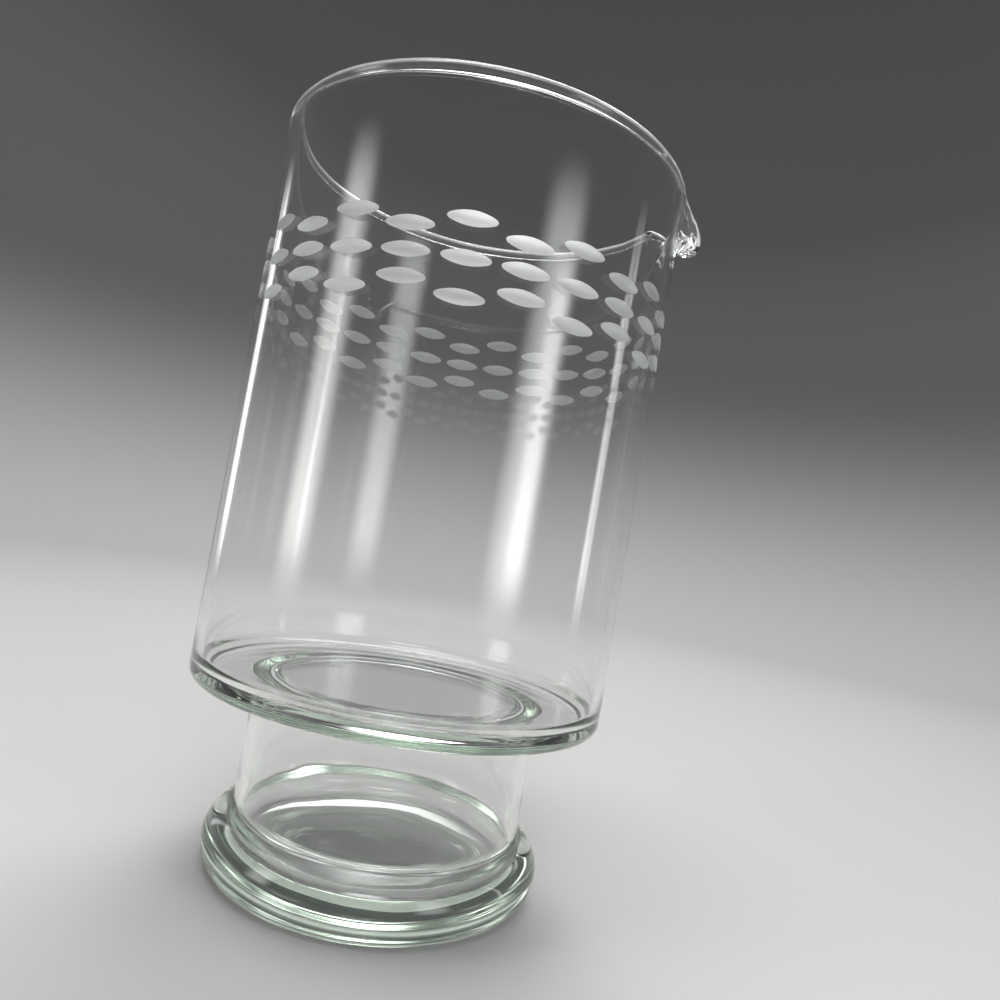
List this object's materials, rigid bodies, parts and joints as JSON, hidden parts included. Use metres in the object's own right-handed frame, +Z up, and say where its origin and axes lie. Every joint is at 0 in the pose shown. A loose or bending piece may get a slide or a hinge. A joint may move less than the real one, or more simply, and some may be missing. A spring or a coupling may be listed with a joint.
{
  "type": "cocktail pitcher",
  "caption": "Clear glass cocktail pitcher with a straight round bowl, pulled pouring lip, band of cut ovals and a hollow rolled foot, for stirring and pouring drinks",
  "frame": {"origin": "centre of the flat resting face, on the axis of the bowl", "axes": "+X toward the pouring lip, +Z up along the axis of the bowl, +Y completes a right-handed frame"},
  "size_m": [0.1228, 0.1152, 0.2028],
  "materials": {
    "clear_glass": "fire polished, with matt wheel-cut ovals near the rim"
  },
  "bodies": {
    "root": {"bowl": "clear_glass", "foot": "clear_glass"}
  },
  "joints": []
}
